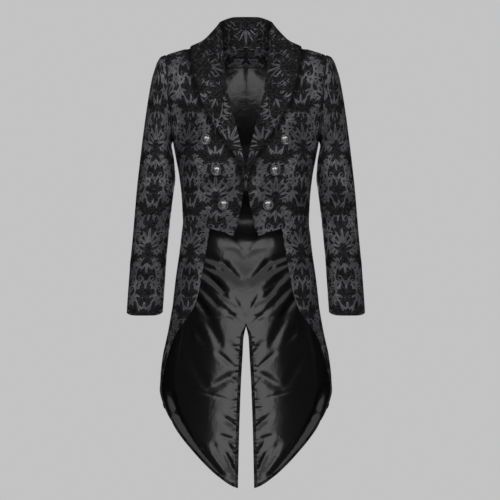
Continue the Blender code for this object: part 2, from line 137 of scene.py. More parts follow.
# Deep folds of the satin lining, on the right: x and z of both ends, width, depth.
LINING_FOLDS = np.array([
    (105, -540, 60, -556, 13, 5), (60, -556, 18, -601, 14, 6), (110, -582, 58, -625, 13, 5),
    (119, -619, 70, -672, 14, 5), (91, -625, 28, -665, 13, 4), (128, -656, 70, -771, 18, 6),
    (138, -723, 115, -761, 14, 4), (42, -771, 24, -800, 12, 4), (95, -890, 17, -843, 16, 5),
    (61, -965, 34, -989, 13, 4), (65, -1026, 38, -1074, 13, 4), (85, -1039, 55, -1097, 14, 4),
])
# Finer ones, with the share of the depth that the left side has.
FINE_FOLDS = np.array([
    (75, -566, 56, -587, 6, 2, 1), (110, -560, 70, -575, 6, 1.8, 0.8), (100, -600, 60, -640, 6, 1.8, 1.2),
    (138, -640, 96, -700, 8, 2.4, 0.9), (96, -700, 11, -701, 6, 1.2, 1.1),
    (36, -640, 6, -700, 6, 1.6, 0.9), (60, -680, 14, -725, 7, 1.8, 1.1), (122, -896, 21, -928, 4, 1, 0.9),
    (69, -1016, 21, -1033, 6, 1.8, 1), (55, -1060, 38, -1094, 6, 1.8, 0.9),
    (75, -800, 30, -840, 7, 1.8, 1.1), (150, -800, 110, -880, 12, 2.2, 0.9),
    (18, -61, 38, -75, 4, -0.6, 1), (23, -57, 46, -69, 4, -0.4, 1), (30, -500, 8, -530, 8, 1.4, 0.9),
    (64, -508, 20, -520, 9, 1.2, 1.1), (24, -800, 14, -835, 5, 1.6, 0.9),
    (40, -870, 18, -890, 5, 1.5, 1.2), (206, -887, 184, -956, 9, 7.5, 1),
    (184, -956, 152, -1013, 9, 8, 1), (152, -1013, 119, -1061, 9, 8, 1), (119, -1061, 69, -1120, 9, 7, 1),
    (46, -940, 20, -955, 5, 1.6, 0.8), (50, -975, 22, -1000, 5, 1.4, 1.1),
    (30, -1100, 20, -1125, 5, 1.4, 1), (66, -1050, 26, -1120, 6, 2.2, 1),
    (50, -1030, 24, -1080, 6, 1.8, 0.9), (44, -1098, 26, -1134, 5, 2, 1.1),
])

# Buttons: name, distance from the centre line, height.
BUTTONS = [("button_upper", 98.5, -250.0), ("button_middle", 73.0, -327.0), ("button_lower", 55.5, -412.0)]
LABEL_SIZE = (46.0, 12.0)
LABEL_HEIGHT = -12.0
# Steps of a collar section: stand, into the fold, out of it, fall, and fall to edge.
COLLAR_STEPS = (18, 5, 5, 16, 14)


def through(x, table, column=1):
    """A smooth curve through the table's rows, that never swings past them."""
    rows = table[np.argsort(table[:, 0])]
    xs, ys = rows[:, 0], rows[:, column]
    step, rise = np.diff(xs), np.diff(ys)
    slope = rise / step
    tangent = np.zeros_like(ys)
    same_way = slope[:-1] * slope[1:] > 0
    mean = 2 * slope[:-1] * slope[1:] / np.where(same_way, slope[:-1] + slope[1:], 1)
    tangent[1:-1] = np.where(same_way, mean, 0)
    tangent[0], tangent[-1] = slope[0], slope[-1]
    x = np.clip(x, xs[0], xs[-1])
    i = np.clip(np.searchsorted(xs, x) - 1, 0, len(step) - 1)
    t = (x - xs[i]) / step[i]
    blend = t * t * (3 - 2 * t)
    return (ys[i] + rise[i] * blend
            + step[i] * (tangent[i] * t * (1 - t) ** 2 - tangent[i + 1] * t * t * (1 - t)))


def power(base, exponent):
    """A power of what may come out a hair under 0."""
    return np.maximum(base, 0) ** exponent


def torso(angle, z):
    """A point of the torso at this angle round from the centre front, in degrees, and this height."""
    turn = np.radians(angle)
    depth = np.where(angle < 90, -through(z, TORSO, 2), through(z, TORSO, 3))
    x = through(z, TORSO, 1) * power(np.sin(turn), 2 / ROUND)
    y = depth * power(np.abs(np.cos(turn)), 2 / ROUND)
    return np.stack([x, y, z + 0 * x], -1)


def angle_at(x, z):
    """The angle, in degrees and under 90, where the torso is this wide."""
    return np.degrees(np.arcsin(np.minimum(x / through(z, TORSO, 1), 1) ** (ROUND / 2)))


def rounded(wave):
    """A sine or cosine made as full as the armhole and the sleeves are."""
    return np.sign(wave) * np.abs(wave) ** (2 / ARM_ROUND)


def arm_plane_x(z):
    """x of the slanting plane that the armhole lies in."""
    return ARM_BOTTOM_X + (ARM_TOP_X - ARM_BOTTOM_X) * (z - CHEST) / (ARM_TOP_Z - CHEST)


def armhole(v):
    """x, half depth and z of the armhole, from its top at 0 to its bottom at 1."""
    turn = np.pi * v
    z = (ARM_TOP_Z + CHEST) / 2 + (ARM_TOP_Z - CHEST) / 2 * rounded(np.cos(turn))
    return arm_plane_x(z), ARM_DEPTH * power(np.sin(turn), 2 / ARM_ROUND), z


def yoke(share, v, side):
    """The shoulder part: share goes from the centre to the armhole, v from the shoulder seam down."""
    v = np.maximum(v, 1e-4)
    end_x, end_depth, end_z = armhole(v)
    deepest = TORSO[0, 2 if side == "front" else 3]
    depth = deepest * np.sin(v * np.pi / 2) ** 0.8
    width = power(1 - (end_depth / depth) ** ROUND, 1 / ROUND)
    y = depth * power(1 - (share * width) ** ROUND, 1 / ROUND)
    centre = SHOULDER_PEAK + (CHEST - SHOULDER_PEAK) * v ** SHOULDER_FALL[side]
    z = centre + (end_z - centre) * share ** (1 + 0.5 * v)
    return np.stack([share * end_x, -y if side == "front" else y, z + 0 * y], -1)


def side_seam(z):
    """Angle of the seam between back and side, which moves back towards the hem."""
    return 90 + 32 * np.clip((CHEST - z) / 725, 0, 1)


def skin_y(x, z, side="front"):
    """Depth of the coat's outer face at one x and height."""
    if z <= CHEST:
        near = angle_at(x, z)
        return float(torso(near if side == "front" else 180 - near, np.float64(z))[1])
    v = np.linspace(0, 1, 200)
    line = yoke(np.minimum(x / armhole(v)[0], 1), v, side)
    return float(np.interp(-z, -line[:, 2], line[:, 1]))


def upper_rows(v_rows, columns, side, inner_x):
    """Rows of the shoulder part, from its inner edge to the armhole."""
    rows = []
    for v in v_rows:
        # Edge and height depend on each other, so both are closed in on.
        share = 0.3
        for _ in range(30):
            point = yoke(share, v, side)
            share = 0.5 * share + 0.5 * inner_x(v, point[2]) / armhole(v)[0]
        start = np.degrees(np.arcsin(min(share, 1) ** (ROUND / 2)))
        spread = np.sin(np.radians(np.linspace(start, 90, columns))) ** (2 / ROUND)
        rows.append(yoke(spread, v, side))
    return rows


def lower_rows(f_rows, columns, angles, bottom):
    """Rows from the chest down; angles gives both edges at a height, bottom the lowest height."""
    u = np.linspace(0, 1, columns)[None, :]
    f = f_rows[:, None]
    z = CHEST + 0 * (f + u)
    # As above, edges and height are closed in on together.
    for _ in range(60):
        start, end = angles(z)
        angle = start + (end - start) * u
        point = torso(angle, z)
        z = 0.6 * z + 0.4 * (CHEST + f * (bottom(point, angle) - CHEST))
    return point


def run_lengths(line):
    """Length along a line of points, from its first to each of them."""
    return np.concatenate([[0], np.cumsum(np.linalg.norm(np.diff(line, axis=0), axis=1))])


def even_rows(side, step):
    """Shares of the shoulder part's depth that are this far apart on the cloth."""
    v = np.linspace(0, 1, 600)
    along = run_lengths(yoke(0.5, v, side))
    return np.interp(np.linspace(0, along[-1], max(int(along[-1] / step), 4)), along, v)


def front_grid(step):
    """The front, from the shoulder to its pointed hem and round to the side seam."""
    columns = int(210 / step)
    upper = upper_rows(even_rows("front", step), columns, "front", lambda v, z: through(z, FRONT_EDGE))
    lower = lower_rows(np.linspace(0, 1, int(250 / step))[1:], columns,
                       lambda z: (angle_at(through(z, FRONT_EDGE), z), side_seam(z)),
                       lambda point, angle: through(point[..., 0], FRONT_HEM))
    return np.concatenate([upper, lower])


def back_inner_x(v, z):
    """x of the back's inner edge: round the neck, then down the centre seam."""
    if v < NECK_SHARE:
        return SEAM / 2 + NECK_WIDTH * math.sqrt(1 - (v / NECK_SHARE) ** 2)
    return SEAM / 2


def neck_rows(columns, count, below):
    """Rows under the neck: down to the facing's level foot, or from that foot to the chest."""
    shares = np.sin(np.linspace(0, np.pi / 2, columns)) ** (2 / ROUND)
    v = np.linspace(NECK_SHARE, 1, 400)
    foot = np.array([np.interp(-FACING_FOOT, -yoke(share, v, "back")[:, 2], v) for share in shares])
    first, last = (foot, 1 + 0 * foot) if below else (NECK_SHARE + 0 * foot, foot)
    return np.array([yoke(shares, first + (last - first) * f, "back") for f in np.linspace(0, 1, count)])


def back_grid(step, lining=False):
    """The back, from the shoulder and neck to the tail, or as far up as its lining goes."""
    columns = int(240 / step)
    if lining:
        upper = neck_rows(columns, int(235 / step), True)
    else:
        # Three more rows where the neck turns into the centre seam.
        v_rows = np.sort(np.append(even_rows("back", step), [0.44, 0.452, 0.457, NECK_SHARE]))
        upper = upper_rows(v_rows, columns, "back", back_inner_x)
    lower = lower_rows(np.linspace(0, 1, int(910 / step))[1:], columns,
                       lambda z: (180 - angle_at(through(z, VENT), z), side_seam(z)),
                       lambda point, angle: through(angle, HEM))
    return np.concatenate([upper, lower])


def seam_foot():
    """Height where the seam between back and side meets the hem."""
    z = -970.0
    for _ in range(40):
        z = float(0.5 * z + 0.5 * through(side_seam(z), HEM))
    return z


def skirt_grid(step):
    """The skirt, from its cut-away edge round the side to the back."""
    rows, columns = int(520 / step), int(210 / step)
    edge = HEM[HEM[:, 0] < SKIRT_END]
    # A degree round the skirt is about 3.2 mm of cloth.
    steps = np.hypot(np.diff(edge[:, 0]) * 3.2, np.diff(edge[:, 1]))
    along = np.column_stack([np.concatenate([[0], np.cumsum(steps)]), edge])
    f = np.linspace(0, 1, rows)
    start = through(f * along[-1, 0], along, 1)
    start_z = through(f * along[-1, 0], along, 2)
    end_z = WAIST + (seam_foot() - WAIST) * f
    u = np.linspace(0, 1, columns)[None, :]
    z = start_z[:, None] * (1 - u) + end_z[:, None] * u
    angle = start[:, None] * (1 - u) + side_seam(end_z)[:, None] * u
    return torso(angle, z)


def sleeve_grid(step):
    """Rings of the sleeve, each in the plane of its outer and inner points."""
    along_arm = run_lengths(SLEEVE[:, :2])
    t = np.interp(np.linspace(0, along_arm[-1], int(690 / step)), along_arm, np.arange(len(SLEEVE)))
    columns = int(400 / step)
    table = np.column_stack([np.arange(len(SLEEVE)), SLEEVE])
    outer_x, outer_z, inner_x, inner_z, depth, reach = (through(t, table, c)[:, None] for c in range(1, 7))
    turn = np.linspace(0, 2 * np.pi, columns, endpoint=False)[None, :]
    along, across = rounded(np.cos(turn)), rounded(np.sin(turn))
    x = (outer_x + inner_x) / 2 + (outer_x - inner_x) / 2 * along
    z = (outer_z + inner_z) / 2 + (outer_z - inner_z) / 2 * along
    # The cuff's two corners are rounded up by 7 mm.
    lift = np.clip((t[:, None] - (len(SLEEVE) - 2)), 0, 1) * 7 * np.abs(along) ** 6
    return np.stack([x, depth * across - reach + 0 * x, z + lift], -1)


def smooth_line(at, lengths, points):
    """Places at these lengths of the smooth line through the points."""
    return np.stack([through(at, np.column_stack([lengths, points[:, k]])) for k in range(3)], -1)


def along_stops(stops, steps):
    """A smooth line through the stops, with this many steps in each span."""
    stops = np.array(stops, float)
    lengths = run_lengths(stops)
    shares = np.concatenate([[0]] + [k + np.arange(1, n + 1) / n for k, n in enumerate(steps)])
    return smooth_line(np.interp(shares, np.arange(len(stops)), lengths), lengths, stops)


def folded_row(seam, fold, landing, edge, out):
    """One section of the collar: up the stand, over the fold and down the fall."""
    seam, fold, landing, edge = (np.array(p, float) for p in (seam, fold, landing, edge))
    down = np.array([0, 0, -1.0])
    if abs(fold[2] - seam[2]) <= 15:
        down = (seam - fold) / np.linalg.norm(fold - seam)
    # The fold is rounded over 4 mm, a little wider outside than inside.
    stops = [seam, fold + 4 * down - 3.2 * out, fold, fold + 4 * down + 3.6 * out, landing, edge]
    return along_stops(stops, COLLAR_STEPS)


def roll_row(height, steps):
    """A section of collar or lapel where it lies on the front."""
    roll, rise, landing, edge = (float(through(height, ROLL, c)) for c in (1, 2, 3, 4))
    fold_y = skin_y(roll, height) - rise
    inside = max(roll - FOLD_HALF, 0.6)
    stops = [(inside, fold_y + rise - 1.0, height), (inside, fold_y, height),
             (roll, fold_y - FOLD_RISE, height), (landing, skin_y(landing, height) - LANDING_RISE, height),
             (edge, skin_y(edge, height) - EDGE_RISE, height)]
    return along_stops(stops, steps)


def collar_grid(step):
    """Half of the collar, from the centre back to the gorge seam."""
    rows = []
    for row in COLLAR:
        seam, fold, landing, edge = (row[i:i + 3] for i in (0, 3, 6, 9))
        out = np.array([landing[0] - fold[0], landing[1] - fold[1], 0.0])
        rows.append(folded_row(seam, fold, landing, edge, out / np.linalg.norm(out)))
    stand, rim_in, rim_out, fall, tip = COLLAR_STEPS
    front_steps = (stand + rim_in - 4, 4 + rim_out - 2, 2 + fall, tip)
    rows += [roll_row(z, front_steps) for z in (-30, -58, -86, GORGE + SEAM / 2)]
    rows = np.array(rows)
    t = np.linspace(0, len(rows) - 1, int(300 / step))
    count = np.arange(len(rows))
    return np.stack([smooth_line(t, count, rows[:, j]) for j in range(rows.shape[1])], 1)


def lapel_grid(step):
    """The lapel, from the gorge seam down, and from inside its roll out to its edge."""
    heights = np.linspace(GORGE - SEAM / 2, LAPEL_END, int(240 / step))
    return np.array([roll_row(z, (4, 4, int(24 / step) + 2, int(60 / step))) for z in heights])


def unit(vectors):
    """The vectors at length 1."""
    return vectors / np.maximum(np.linalg.norm(vectors, axis=-1, keepdims=True), 1e-9)


def normals(grid, wrap=False):
    """Normals of a grid, pointing away from the torso's axis or from a tube's own."""
    if wrap:
        across = np.roll(grid, -1, 1) - np.roll(grid, 1, 1)
        centre = grid.mean(1, keepdims=True)
    else:
        across = np.gradient(grid, axis=1)
        centre = grid * (0, 0, 1) - (0, 0, 60)
    found = np.cross(np.gradient(grid, axis=0), across)
    # At the centre line both halves lean the same way.
    found[..., 0] *= np.abs(grid[..., 0]) > 0.5
    found = unit(found)
    return found if (found * (grid - centre)).sum() > 0 else -found


def shortened(line, start, end):
    """A line of points drawn in along itself by these lengths, its spacing kept."""
    along = run_lengths(line)
    kept = start + along * (1 - (start + end) / along[-1])
    return np.stack([np.interp(kept, along, line[:, k]) for k in range(3)], -1)


def trimmed(grid, top=0.0, bottom=0.0, inner=0.0, outer=0.0):
    """The grid with its edges drawn in; inner and outer can be a length for each row."""
    inner, outer = np.broadcast_to(inner, len(grid)), np.broadcast_to(outer, len(grid))
    rows = np.array([shortened(row, start, end) for row, start, end in zip(grid, inner, outer)])
    return np.stack([shortened(rows[:, c], top, bottom) for c in range(grid.shape[1])], 1)


def clear_of_coat(grid, gap):
    """The fall's points kept this far out from the coat that they lie on."""
    grid = grid.copy()
    for point in grid.reshape(-1, 3):
        side, outward = ("front", -1) if point[1] < 0 else ("back", 1)
        least = skin_y(abs(point[0]), point[2], side) + outward * gap
        point[1] = outward * max(outward * point[1], outward * least)
    return grid


# Soft creases of each panel, on the right: x and z of both ends, width, depth, share on the left. In the
# place of x the sleeves have mm round from the outer line towards the front.
CREASES = {"front": [
    (12, -352, 60, -330, 9, 1.6, 0.8), (14, -368, 92, -372, 10, 1.8, 1.1),
    (18, -372, 70, -412, 9, 1.3, 1.2), (150, -250, 118, -300, 14, 2.2, 0.8),
    (160, -290, 130, -372, 13, 1.8, 1.2), (60, -440, 150, -425, 14, -1.6, 1),
    (176, -110, 150, -200, 13, 2, 0.8), (110, -455, 160, -462, 10, 1.4, 1.2),
    (100, -40, 150, -95, 15, 1.6, 1.1),
], "skirt": [
    (120, -480, 150, -560, 14, 2, 0.8), (150, -520, 190, -640, 16, -2.2, 1.1),
    (160, -640, 205, -760, 18, 2.2, 0.9), (186, -700, 214, -840, 14, -1.8, 1.2),
], "back": [
    (20, -200, 130, -150, 20, 1.8, 0.8), (60, -330, 150, -300, 16, 2, 1.1),
    (30, -450, 120, -430, 15, -2, 0.9), (50, -440, 150, -400, 15, 1.8, 1.2),
    (60, -520, 90, -760, 24, -3, 0.8), (130, -560, 160, -860, 24, 3, 1.1),
    (24, -760, 60, -1040, 22, 2.6, 0.9), (90, -820, 110, -1010, 20, -2.4, 1.2),
], "sleeve": [
    (-150, -330, -60, -300, 12, 2.4, 0.8), (-160, -372, -95, -352, 11, 2.2, 1.2),
    (-170, -410, -70, -432, 13, 2.6, 1), (-175, -450, -60, -420, 12, 2.4, 0.9),
    (-150, -480, -80, -470, 12, -1.8, 1.1), (-40, -250, -100, -330, 16, 1.8, 1),
    (-30, -120, -60, -220, 16, -2, 0.9), (-140, -560, -60, -600, 14, 1.8, 1.2),
    (40, -430, 150, -400, 14, 2.4, 1), (60, -470, 160, -450, 13, 2.2, 0.8),
    (20, -560, 110, -590, 15, -1.8, 1.1), (-20, -640, -110, -655, 12, 1.4, 0.9),
]}
# How far the sewn edges of each panel dip.
SEAM_DIPS = {"front": {"outer": 2.6, "top": 0.8, "bottom": 0.8}, "skirt": {"outer": 1.6, "top": 0.8},
             "back": {"outer": 1.6, "inner": 0.8, "top": 0.8}, "sleeve": {"top": 2.6}}


def stroke(points, radii):
    """Capsules along a line: the two ends and the two radii of each."""
    points, radii = np.array(points), np.array(radii)
    return np.column_stack([points[:-1], points[1:], radii[:-1], radii[1:]])


def path_from(x, y, headings, steps):
    """Where each step leads to from x, y, along its heading."""
    moves = np.stack([np.cos(headings), np.sin(headings)], -1) * np.array(steps)[:, None]
    return np.cumsum(moves, 0) + (x, y)


def leaf(x, y, heading, length, wide, bend=0.0):
    """A pointed leaf with its widest part a third of the way up."""
    t = np.linspace(0, 1, 8)
    path = path_from(x, y, np.radians(heading) + bend * t, np.full(8, length / 7))
    return stroke(path, wide * np.sin(np.pi * (0.1 + 0.88 * t ** 0.8)) ** 0.85)


def volute(x, y, heading, stem, bend, radius, turn, wide, leaves, leaf_size):
    """A bent stem that rolls up into a volute with a bead, with leaves down its outer side."""
    way = 1 if turn > 0 else -1
    t = np.linspace(0, 1, 12)
    stem_headings = np.radians(heading) + bend * t
    first = path_from(x, y, stem_headings, np.full(12, stem / 11))
    angles = np.linspace(0, abs(turn), 26)
    radii = radius * np.exp(-angles * math.log(radius / 3.0) / abs(turn))
    rolled = path_from(*first[-1], stem_headings[-1] + way * angles, radii * abs(turn) / 25)
    path = np.concatenate([first, rolled])
    widths = np.concatenate([wide * (0.55 + 0.45 * t), np.linspace(wide, 0.42 * wide, 26)])
    widths[-2:] = 0.85 * wide
    parts = [stroke(path, widths)]
    for k in range(leaves):
        i = 2 + int(k * 16 / leaves)
        along = path[i + 1] - path[i]
        angle = math.degrees(math.atan2(along[1], along[0]))
        size = leaf_size * (0.7 + 0.5 * math.sin(math.pi * (k + 0.6) / leaves))
        parts.append(leaf(*path[i], angle - way * 42, size, size * 0.15, -way * 0.9))
        parts.append(leaf(*path[i], angle - way * 74, size * 0.62, size * 0.12, -way * 0.5))
    return np.concatenate(parts)


# Leaves of the motif: x, y, heading in degrees, length, width, bend.
LEAVES = [
    (0, 4, 90, 40, 4.2), (1, 4, 70, 36, 3.6, -0.3), (3, 2, 50, 32, 3.3, -0.5), (4, -1, 30, 28, 3, -0.6),
    (0, 48, 90, 14, 2), (0, -26, -90, 30, 3.8), (2, -30, -68, 22, 2.6, 0.5), (0, -66, -90, 26, 3),
    (0, 86, 90, 22, 3.2), (1, 84, 62, 18, 2.4, -0.4), (56, -30, 100, 26, 3, 0.4),
    (58, -34, -80, 22, 2.6, -0.5), (34, -92, 20, 22, 2.8, 0.6), (34, -92, -30, 16, 2.2, -0.6),
]
# Its volutes: x, y, heading, length and bend of the stem, radius, turn, width, leaves and their length.
VOLUTES = [
    (4, -8, 8, 34, 0.7, 13, 8.2, 2.7, 5, 19), (3, -16, -48, 44, -0.5, 12, -8, 2.6, 5, 20),
    (8, 44, 12, 20, 1.3, 8, 6.6, 2, 3, 13), (2, -60, -60, 26, 0.9, 9.5, 7.6, 2.2, 4, 15),
    (52, 62, 120, 16, 0.2, 7.5, 7.2, 1.8, 2, 11),
]
# Its beads: x, y, radius.
BEADS = [(0, 68, 2.4), (60, 4, 2.2), (26, -52, 1.7), (14, 104, 1.7), (48, 100, 2.0)]


def damask_motif():
    """The right half of one motif, centred, about 60 mm wide and 200 mm high."""
    parts = [leaf(*row) for row in LEAVES] + [volute(*row) for row in VOLUTES]
    parts.append(np.array([(x, y, x + 0.1, y, radius, radius) for x, y, radius in BEADS]))
    return np.concatenate(parts)


FIGURE_SCALE = 1.18
REPEAT = (130.0 * FIGURE_SCALE, 220.0 * FIGURE_SCALE)


def damask_tile(cell=1.25):
    """Distance in mm to the nearest figure edge over one repeat, under 0 inside the figure."""
    half = damask_motif() * FIGURE_SCALE
    shapes = []
    for flip in (1, -1):
        for shift in ((0, 0), (REPEAT[0] / 2, REPEAT[1] / 2)):
            moved = half * (flip, 1, flip, 1, 1, 1)
            moved[:, [0, 2]] += shift[0]
            moved[:, [1, 3]] += shift[1]
            shapes.append(moved)
    shapes = np.concatenate(shapes)
    columns, rows = round(REPEAT[0] / cell), round(REPEAT[1] / cell)
    x, y = np.meshgrid(np.arange(columns) * cell, np.arange(rows) * cell)
    nearest = np.full(x.shape, 99.0)
    for x0, y0, x1, y1, r0, r1 in shapes:
        dx = (x - x0 + REPEAT[0] / 2) % REPEAT[0] - REPEAT[0] / 2
        dy = (y - y0 + REPEAT[1] / 2) % REPEAT[1] - REPEAT[1] / 2
        ax, ay = x1 - x0, y1 - y0
        t = np.clip((dx * ax + dy * ay) / (ax * ax + ay * ay + 1e-9), 0, 1)
        nearest = np.minimum(nearest, np.hypot(dx - t * ax, dy - t * ay) - r0 - (r1 - r0) * t)
    return nearest


TILE = damask_tile()


def damask_at(across, down):
    """The woven figure at a place on the cloth, in mm from its centre line and top."""
    rows, columns = TILE.shape
    u = across / REPEAT[0] * columns % columns
    v = -down / REPEAT[1] * rows % rows
    i, j = np.floor(u).astype(int), np.floor(v).astype(int)
    fu, fv = u - i, v - j
    i, j, i1, j1 = i % columns, j % rows, (i + 1) % columns, (j + 1) % rows
    return ((TILE[j, i] * (1 - fu) + TILE[j, i1] * fu) * (1 - fv)
            + (TILE[j1, i] * (1 - fu) + TILE[j1, i1] * fu) * fv)


def lengths_along(grid, axis):
    """Length along the cloth from the first point of each line of the grid."""
    steps = np.linalg.norm(np.diff(grid, axis=axis), axis=-1)
    shape = list(grid.shape[:2])
    shape[axis] = 1
    return np.concatenate([np.zeros(shape), np.cumsum(steps, axis)], axis)


def cloth_place(grid, start=0.0):
    """Where each point lies on the cloth: across from the centre line and down from the top."""
    across = start + lengths_along(grid, 1)
    chest = np.argmax(grid[:, -1, 2] <= CHEST + 1e-6) if grid[0, -1, 2] > CHEST else 0
    down = lengths_along(grid, 0)
    down = np.where(grid[..., 2] < CHEST, -grid[..., 2], -CHEST - (down[chest] - down))
    return across, down


def crease_height(grid, creases, side, place=None):
    """How far the creases draw the cloth in; place gives other coordinates than x and z."""
    x, z = place if place is not None else (np.abs(grid[..., 0]), grid[..., 2])
    height = np.zeros(x.shape)
    for x0, z0, x1, z1, width, depth, left_share in creases:
        # On the left a crease has another depth and lies a few mm away, so that the sides differ.
        shift = 0.0
        if side == "left":
            depth, shift = depth * left_share, 27.0 * (left_share - 1)
        run_x, run_z = x1 - x0, z1 - z0
        along = ((x - x0) * run_x + (z - z0 - shift) * run_z) / (run_x ** 2 + run_z ** 2)
        held = np.clip(along, 0, 1)
        away = np.hypot(x - x0 - held * run_x, z - z0 - shift - held * run_z)
        height += depth * np.exp(-(away / width) ** 2) * (0.55 + 0.45 * np.sin(np.pi * held))
    return height


def linear(hex_colour):
    """An sRGB hex colour as linear values."""
    parts = [int(hex_colour[i:i + 2], 16) / 255 for i in (0, 2, 4)]
    return (*(c / 12.92 if c <= 0.04045 else ((c + 0.055) / 1.055) ** 2.4 for c in parts), 1)


def fill(made, node, inputs):
    """Gives the inputs of a node their values and links."""
    for key, value in dict(inputs).items():
        if isinstance(value, bpy.types.NodeSocket):
            made.node_tree.links.new(value, node.inputs[key])
        else:
            node.inputs[key].default_value = value


def add_node(made, kind, inputs=(), **settings):
    """A shader node with its settings and inputs."""
    node = made.node_tree.nodes.new("ShaderNode" + kind)
    for key, value in settings.items():
        setattr(node, key, value)
    fill(made, node, inputs)
    return node


def new_material(name, inputs):
    """A material and its shader, with these values on the shader's own inputs."""
    made = bpy.data.materials.new(name)
    made.use_nodes = True
    shader = made.node_tree.nodes["Principled BSDF"]
    fill(made, shader, inputs)
    return made, shader


def object_place(made):
    return add_node(made, "TexCoord").outputs["Object"]


def point_value(made, name):
    """A value that the mesh carries at its points."""
    return add_node(made, "Attribute", attribute_type="GEOMETRY", attribute_name=name).outputs["Fac"]


def noise(made, place, scale, detail=2.0, distortion=0.0):
    inputs = {"Vector": place, "Scale": scale, "Detail": detail, "Distortion": distortion}
    return add_node(made, "TexNoise", inputs).outputs["Fac"]


def ramp(made, value, low, high, bottom=0.0, top=1.0):
    """bottom where the value is at low or past it, top at high, and even between."""
    inputs = {0: value, 1: low, 2: high, 3: bottom, 4: top}
    return add_node(made, "MapRange", inputs, clamp=True).outputs[0]


def blend(made, share, first, second):
    """The second colour where the share is 1, the first where it is 0."""
    return add_node(made, "Mix", {0: share, 6: first, 7: second}, data_type="RGBA").outputs[2]


def combined(made, first, second, operation="MULTIPLY"):
    return add_node(made, "Math", {0: first, 1: second}, operation=operation).outputs[0]


def bumps(made, height, strength, distance):
    """The surface as if raised by the height, this many metres at most."""
    inputs = {"Height": height, "Strength": strength, "Distance": distance}
    return add_node(made, "Bump", inputs).outputs[0]


def brocade():
    """Black jacquard brocade: a smooth satin figure that shines a little on a dull, grainy crepe ground."""
    made, shader = new_material("black jacquard brocade", {"Specular IOR Level": 0.22})
    place = object_place(made)
    edge, turned = point_value(made, "damask"), point_value(made, "turned")
    # Crepe grain is near 0.5 mm. It is drawn near 5 mm and longer across, to show at a step away.
    lying = add_node(made, "Mapping", {"Vector": place, "Scale": (1.0, 1.0, 1.9)}).outputs[0]
    grain = noise(made, lying, 175.0)
    # Slubs left by the weaving, near 7 mm, and the slow change of shine over the cloth, near 60 mm.
    slub = noise(made, place, 140.0)
    drift = noise(made, place, 16.0, 1.0)
    figure = ramp(made, combined(made, edge, ramp(made, slub, 0.3, 0.7, -0.5, 0.5), "ADD"), -0.25, -0.95)
    vein = combined(made, ramp(made, edge, -2.3, -3.1), ramp(made, slub, 0.35, 0.55, 0.3, 0.9))
    # The bound edge of the figure: a thin pale thread a little outside it, on part of its length.
    thread = combined(made, ramp(made, edge, 1.5, 1.9), ramp(made, edge, 2.9, 2.5))
    thread = combined(made, thread, ramp(made, drift, 0.42, 0.58, 0.0, 0.75))
    ground = blend(made, ramp(made, grain, 0.46, 0.66), linear("010101"), linear("27272a"))
    ground = blend(made, thread, ground, linear("333336"))
    shine = blend(made, ramp(made, drift, 0.35, 0.65), linear("505054"), linear("7c7c80"))
    satin = blend(made, ramp(made, slub, 0.3, 0.75), linear("3e3e41"), shine)
    woven = blend(made, figure, ground, blend(made, vein, satin, linear("0f0f10")))
    # The "turned" value darkens the cloth nearly to black: painted shadow under the edges of collar and
    # lapels, painted shade along those turned edges, and the darkened hem inside.
    cloth = blend(made, combined(made, turned, 0.9), woven, linear("020202"))
    height = combined(made, figure, combined(made, grain, 0.8), "ADD")
    fill(made, shader, {"Base Color": cloth, "Roughness": ramp(made, figure, 0.0, 1.0, 0.85, 0.46),
                        "Normal": bumps(made, height, 0.7, 0.0008)})
    return made


def lining_satin():
    """Black polyester satin: dark in itself, with broad soft lights where it faces a lamp."""
    made, shader = new_material("black polyester satin", {
        "Base Color": linear("0c0c0d"), "Roughness": 0.19, "Specular IOR Level": 1.0})
    # Crumples left from packing, near 45 mm and finer.
    crumples = noise(made, object_place(made), 22.0, 3.0, 0.5)
    fill(made, shader, {"Normal": bumps(made, crumples, 0.25, 0.004)})
    return made


def tape_cloth():
    """A plain woven label tape, tight and dull, with nothing on it."""
    made, shader = new_material("black woven tape", {"Base Color": linear("101012"), "Roughness": 0.7})
    rib = add_node(made, "TexWave", {"Vector": object_place(made), "Scale": 300.0}, bands_direction="Z")
    fill(made, shader, {"Normal": bumps(made, rib.outputs["Fac"], 0.4, 0.0003)})
    return made


def antique_silver():
    """Cast and silver-plated button metal: worn bright where it stands up, blackened in its hollows."""
    made, shader = new_material("antique silver plate", {"Metallic": 1.0})
    worn = noise(made, object_place(made), 700.0)
    silver = blend(made, worn, linear("77777a"), linear("bcbcbe"))
    aged = blend(made, point_value(made, "hollow"), silver, linear("1c1c1e"))
    fill(made, shader, {"Base Color": aged, "Roughness": ramp(made, worn, 0.0, 1.0, 0.3, 0.5)})
    return made


BROCADE, SATIN, TAPE, SILVER = brocade(), lining_satin(), tape_cloth(), antique_silver()


# Slot and material of a piece, by the last word of its name. The rest of its name is its node's.
KINDS = {"cloth": ("damask", BROCADE), "satin": ("satin", SATIN), "tape": ("tape", TAPE)}


def cloth_faces(rows, columns, wrap):
    """Faces of the two layers of a cloth and of its rim, and how many the first layer has."""
    count = rows * columns
    index = np.arange(count).reshape(rows, columns)
    if wrap:
        index = np.concatenate([index, index[:, :1]], 1)
    corners = [index[:-1, :-1], index[:-1, 1:], index[1:, 1:], index[1:, :-1]]
    quads = np.stack(corners, -1).reshape(-1, 4)
    edges = [(index[0, 1:], index[0, :-1]), (index[-1, :-1], index[-1, 1:])]
    if not wrap:
        edges += [(index[:-1, 0], index[1:, 0]), (index[1:, -1], index[:-1, -1])]
    rim = [np.stack([a, b, b + count, a + count], -1) for a, b in edges]
    return np.concatenate([quads, quads[:, ::-1] + count, *rim]), len(quads)


def faces_in(outer, inner):
    """Whether the faces of the outer layer would look at the inner one."""
    row, column = outer.shape[0] // 2, outer.shape[1] // 2
    middle = outer[row, column]
    look = np.cross(outer[row, column + 1] - middle, outer[row + 1, column] - middle)
    return np.dot(look, middle - inner[row, column]) < 0


